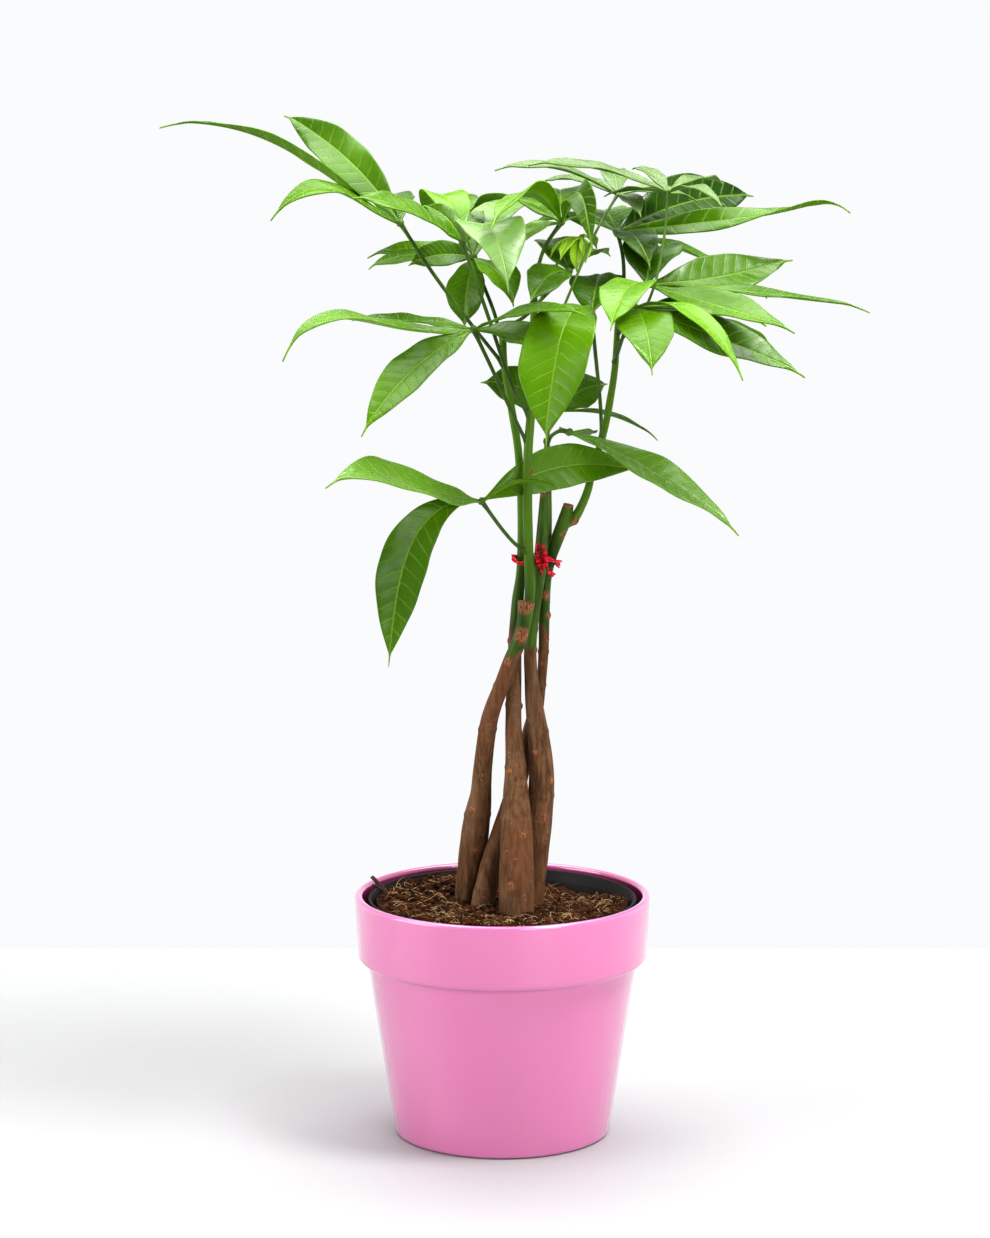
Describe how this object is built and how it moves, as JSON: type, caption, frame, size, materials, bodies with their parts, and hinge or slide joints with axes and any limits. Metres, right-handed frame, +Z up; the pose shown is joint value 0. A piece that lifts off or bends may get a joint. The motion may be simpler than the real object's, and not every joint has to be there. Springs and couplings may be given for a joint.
{
  "type": "potted money tree",
  "caption": "Braided money tree with arched compound leaves, in a nursery pot that stands in a round tapered flower pot with a collar rim.",
  "frame": {"origin": "middle of the flower pot's flat base", "axes": "+Z up along the flower pot's axis, -Y towards the viewer, +X to the viewer's right"},
  "size_m": [0.3387, 0.1963, 0.498],
  "materials": {
    "glaze": "glossy pink glaze",
    "plastic": "black, slightly satin",
    "soil": "crumbly peat and coir",
    "bark": "rough brown bark, green and smooth near the top",
    "leaf": "satin green leaf",
    "young": "pale green young leaf",
    "foil": "red metallised film",
    "twig": "dark dry bark"
  },
  "bodies": {
    "root": {"planter": "glaze", "nursery_pot": "plastic", "soil": "soil", "trunk_left": "bark", "trunk_front": "bark", "trunk_right": "bark", "trunk_back": "bark", "twig": "twig", "tie": "foil", "leaf_01": "leaf", "leaf_02": "leaf", "leaf_03": "leaf", "leaf_04": "young", "leaf_05": "leaf", "leaf_06": "leaf", "leaf_07": "leaf", "leaf_08": "leaf", "leaf_09": "leaf", "leaf_10": "leaf", "leaf_11": "leaf", "leaf_12": "leaf", "leaf_13": "young", "leaf_14": "leaf", "leaf_15": "leaf", "leaf_16": "young"}
  },
  "joints": []
}
